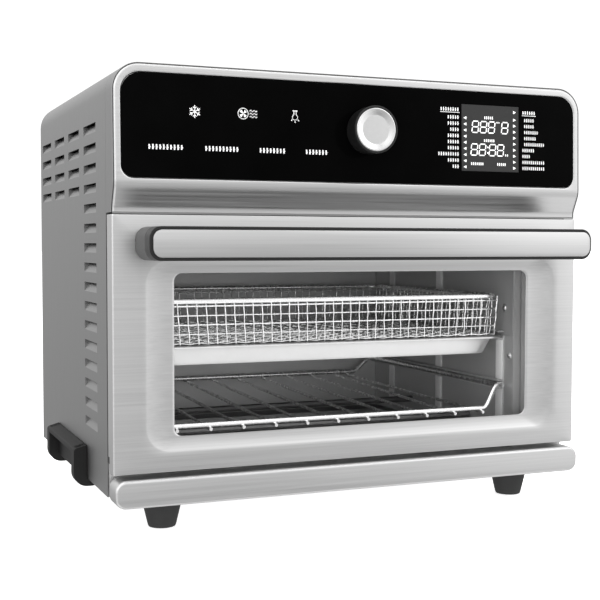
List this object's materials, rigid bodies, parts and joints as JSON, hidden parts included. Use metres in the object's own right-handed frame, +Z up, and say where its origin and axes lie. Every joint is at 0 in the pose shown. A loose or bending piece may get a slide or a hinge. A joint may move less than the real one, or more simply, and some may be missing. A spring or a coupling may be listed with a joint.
{
  "type": "toaster oven",
  "caption": "Countertop toaster oven with a drop-down glass door, a touch and dial control panel, an air-fry basket and pan, a wire rack and a pull-out crumb tray.",
  "frame": {"origin": "centre of the bounding box in X and Y, on the floor under the feet", "axes": "+Z up, +X to the right of someone facing the oven, the door faces -Y"},
  "size_m": [0.454, 0.375, 0.3755],
  "materials": {
    "brushed_steel": "horizontal brushed grain",
    "satin_steel": "satin",
    "zinc_steel": "matt zinc coated",
    "wire_chrome": "bright plated wire",
    "pan_aluminium": "satin",
    "cavity_steel": "satin, dulled by heat",
    "black_glass": "gloss, printed black behind",
    "door_glass": "gloss, tinted",
    "display": "gloss",
    "black_plastic": "fine grain",
    "rubber": "matt",
    "heater_sheath": "matt oxidised",
    "circuit_board": "solder mask",
    "ceramic": "unglazed",
    "lamp_glass": "frosted"
  },
  "bodies": {
    "oven_body": {"control_fascia": "brushed_steel", "outer_shell": "satin_steel", "rear_panel": "satin_steel", "base_plate": "zinc_steel", "dial_encoder": "zinc_steel", "fan_housing": "zinc_steel", "fan_motor": "zinc_steel", "hinge_bracket_left": "zinc_steel", "hinge_bracket_right": "zinc_steel", "guide_rivet_upper": "wire_chrome", "guide_rivet_lower": "wire_chrome", "temperature_probe": "wire_chrome", "front_frame": "cavity_steel", "cavity_left_wall": "cavity_steel", "cavity_right_wall": "cavity_steel", "cavity_back": "cavity_steel", "cavity_ceiling": "cavity_steel", "cavity_floor": "cavity_steel", "fan_guard": "cavity_steel", "control_glass": "black_glass", "display_module": "display", "cord_inlet": "black_plastic", "side_handle_left": "black_plastic", "side_handle_right": "black_plastic", "foot_front_left": "rubber", "foot_front_right": "rubber", "foot_rear_left": "rubber", "foot_rear_right": "rubber", "heater_upper_front": "heater_sheath", "heater_upper_rear": "heater_sheath", "heater_lower_front": "heater_sheath", "heater_lower_rear": "heater_sheath", "control_board": "circuit_board", "power_board": "circuit_board", "lamp_holder": "ceramic", "lamp_lens": "lamp_glass", "lamp_bulb": "lamp_glass"},
    "door": {"door_skin": "brushed_steel", "door_glass": "door_glass", "door_liner": "cavity_steel", "handle_grip": "black_plastic", "handle_face": "brushed_steel", "hinge_clevis_left": "zinc_steel", "hinge_clevis_right": "zinc_steel", "hinge_pin_left": "zinc_steel", "hinge_pin_right": "zinc_steel", "door_spring_left": "zinc_steel", "door_spring_right": "zinc_steel"},
    "crumb_drawer": {"crumb_tray": "zinc_steel", "crumb_tray_front": "brushed_steel"},
    "rack": {"oven_rack": "wire_chrome"},
    "pan_and_basket": {"baking_pan": "pan_aluminium", "airfry_basket": "wire_chrome", "basket_rim": "wire_chrome"},
    "dial_shaft": {"encoder_shaft": "zinc_steel"},
    "dial": {"control_knob": "black_plastic", "knob_cap": "brushed_steel"},
    "fan": {"fan_blade": "zinc_steel", "fan_shaft": "wire_chrome"}
  },
  "joints": [
    {"name": "door_hinge", "type": "hinge", "parent": "oven_body", "child": "door", "pos_m": [0, -0.1355, 0.0609], "axis": [1, 0, 0], "range_deg": [0, 90], "stiffness_Nm_per_rad": 0.5, "springref_deg": -20.05},
    {"name": "tray_slide", "type": "slide", "parent": "oven_body", "child": "crumb_drawer", "axis": [0, -1, 0], "range_m": [0, 0.14]},
    {"name": "rack_slide", "type": "slide", "parent": "oven_body", "child": "rack", "axis": [0, -1, 0], "range_m": [0, 0.045]},
    {"name": "pan_slide", "type": "slide", "parent": "oven_body", "child": "pan_and_basket", "axis": [0, -1, 0], "range_m": [0, 0.134]},
    {"name": "dial_press", "type": "slide", "parent": "oven_body", "child": "dial_shaft", "axis": [0, 1, 0], "range_m": [0, 0.0012], "stiffness_N_per_m": 600},
    {"name": "dial_turn", "type": "hinge", "parent": "dial_shaft", "child": "dial", "pos_m": [0, -0.1493, 0.3291], "axis": [0, 1, 0], "continuous": true},
    {"name": "fan_spin", "type": "hinge", "parent": "oven_body", "child": "fan", "pos_m": [-0.00975, 0.0135, 0.2725], "axis": [0, 0, 1], "continuous": true}
  ],
  "couplings": [
    {"joint": "rack_slide", "follows": "door_hinge", "m_per_rad": 0.028},
    {"joint": "pan_slide", "follows": "door_hinge", "m_per_rad": 0.085}
  ]
}
